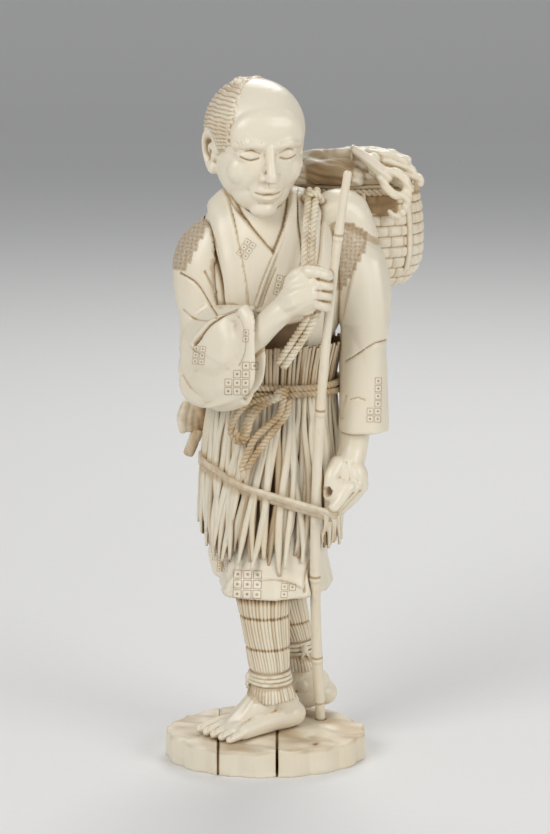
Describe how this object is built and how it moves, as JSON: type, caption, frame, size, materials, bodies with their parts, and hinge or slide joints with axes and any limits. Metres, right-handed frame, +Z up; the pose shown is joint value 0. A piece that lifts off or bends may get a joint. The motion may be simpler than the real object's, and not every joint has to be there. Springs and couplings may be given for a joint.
{
  "type": "okimono carving",
  "caption": "Carved ivory okimono of a walking carrier with a back basket, straw skirt and bamboo staff on a lobed base, built up from pegged sections.",
  "frame": {"origin": "middle of the base's flat underside", "axes": "+Z up through the figure, -Y the way the figure's chest faces, +X to the side of the lowered arm"},
  "size_m": [0.1025, 0.0901, 0.2728],
  "materials": {
    "ivory_robe": "polished ivory, brown stain in the folds",
    "ivory_skin": "high polish, faint stain",
    "ivory_straw": "carved strands with tan stain in the grooves",
    "ivory_rope": "carved lay with brown stain",
    "ivory_staff": "polished, stained at the nodes",
    "ivory_base": "polished, stain in the joints",
    "ivory_peg": "plain turned ivory, unstained"
  },
  "bodies": {
    "figure": {"base_dowels": "ivory_peg", "base_left_plank": "ivory_base", "base_middle_plank": "ivory_base", "base_right_plank": "ivory_base", "basket": "ivory_straw", "basket_peg": "ivory_peg", "basket_rim": "ivory_straw", "bundle": "ivory_robe", "bundle_knot": "ivory_robe", "bundle_roll": "ivory_robe", "foot_dowels": "ivory_peg", "front_foot": "ivory_skin", "front_gaiter": "ivory_straw", "front_gaiter_tie": "ivory_rope", "head": "ivory_skin", "lowered_hand": "ivory_skin", "lowered_sleeve": "ivory_robe", "neck_dowel": "ivory_peg", "pipe_case": "ivory_straw", "raised_hand": "ivory_skin", "raised_sleeve": "ivory_robe", "rear_foot": "ivory_skin", "rear_gaiter": "ivory_straw", "rear_gaiter_tie": "ivory_rope", "robe_skirt": "ivory_robe", "rope_tails": "ivory_rope", "shoulder_dowels": "ivory_peg", "shoulder_ropes": "ivory_rope", "strap": "ivory_straw", "straw_skirt": "ivory_straw", "tobacco_pouch": "ivory_robe", "upper_robe": "ivory_robe", "waist_bow": "ivory_rope", "waist_dowel": "ivory_peg", "waist_rope": "ivory_rope"},
    "staff": {"staff": "ivory_staff"}
  },
  "joints": [
    {"name": "staff_draw", "type": "hinge", "parent": "figure", "child": "staff", "pos_m": [0.8977, 0.38838, 0.16263], "axis": [-0.416, 0.8918, 0.1778], "range_deg": [0, 11]}
  ]
}
